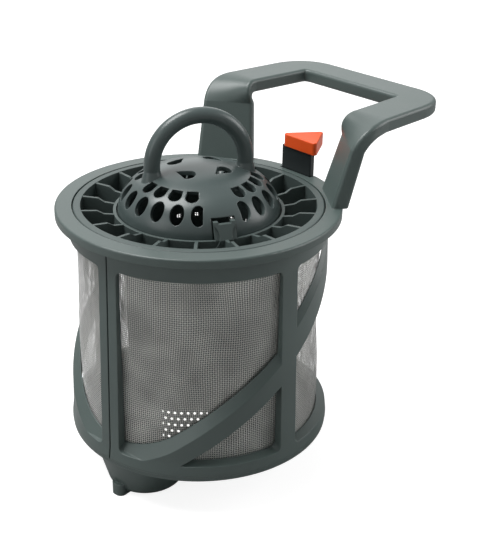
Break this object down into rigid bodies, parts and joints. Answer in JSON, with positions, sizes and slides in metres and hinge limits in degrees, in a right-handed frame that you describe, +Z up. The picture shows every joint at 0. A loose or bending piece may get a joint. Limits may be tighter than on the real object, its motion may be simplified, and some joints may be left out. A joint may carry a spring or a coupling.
{
  "type": "dishwasher filter",
  "caption": "Dishwasher filter: a woven screen cage under a flanged ring with a loop handle and an orange-tipped latch, around a finned insert with a perforated cup and a domed arch guard.",
  "frame": {"origin": "on the filter's axis in the plane of the flange's underside, where the filter seats in its sump", "axes": "+Z up along the filter's axis, +X from the axis towards the loop handle's grip, +Y to complete a right-handed frame"},
  "size_m": [0.153, 0.11, 0.1468],
  "materials": {
    "slate_plastic": "satin slate grey moulding",
    "insert_plastic": "satin slate grey moulding",
    "guard_plastic": "slightly glossy slate grey moulding",
    "dark_plastic": "near-black moulding",
    "orange_plastic": "bright orange moulding",
    "woven_steel": "fine woven wire"
  },
  "bodies": {
    "cage": {"handle_ring": "slate_plastic", "screen_cage": "slate_plastic", "mesh_screen": "woven_steel", "base_cup": "slate_plastic"},
    "insert": {"fin_ring": "insert_plastic", "strainer_cup": "insert_plastic", "dome_guard": "guard_plastic"},
    "latch": {"latch_arm": "dark_plastic", "pointer_cap": "orange_plastic"}
  },
  "joints": [
    {"name": "insert_lift", "type": "slide", "parent": "cage", "child": "insert", "axis": [0, 0, 1], "range_m": [0, 0.095]},
    {"name": "latch_release", "type": "hinge", "parent": "cage", "child": "latch", "pos_m": [0.0521, -0.0011, -0.0024], "axis": [0, 1, 0], "range_deg": [0, 7], "stiffness_Nm_per_rad": 0.6}
  ]
}
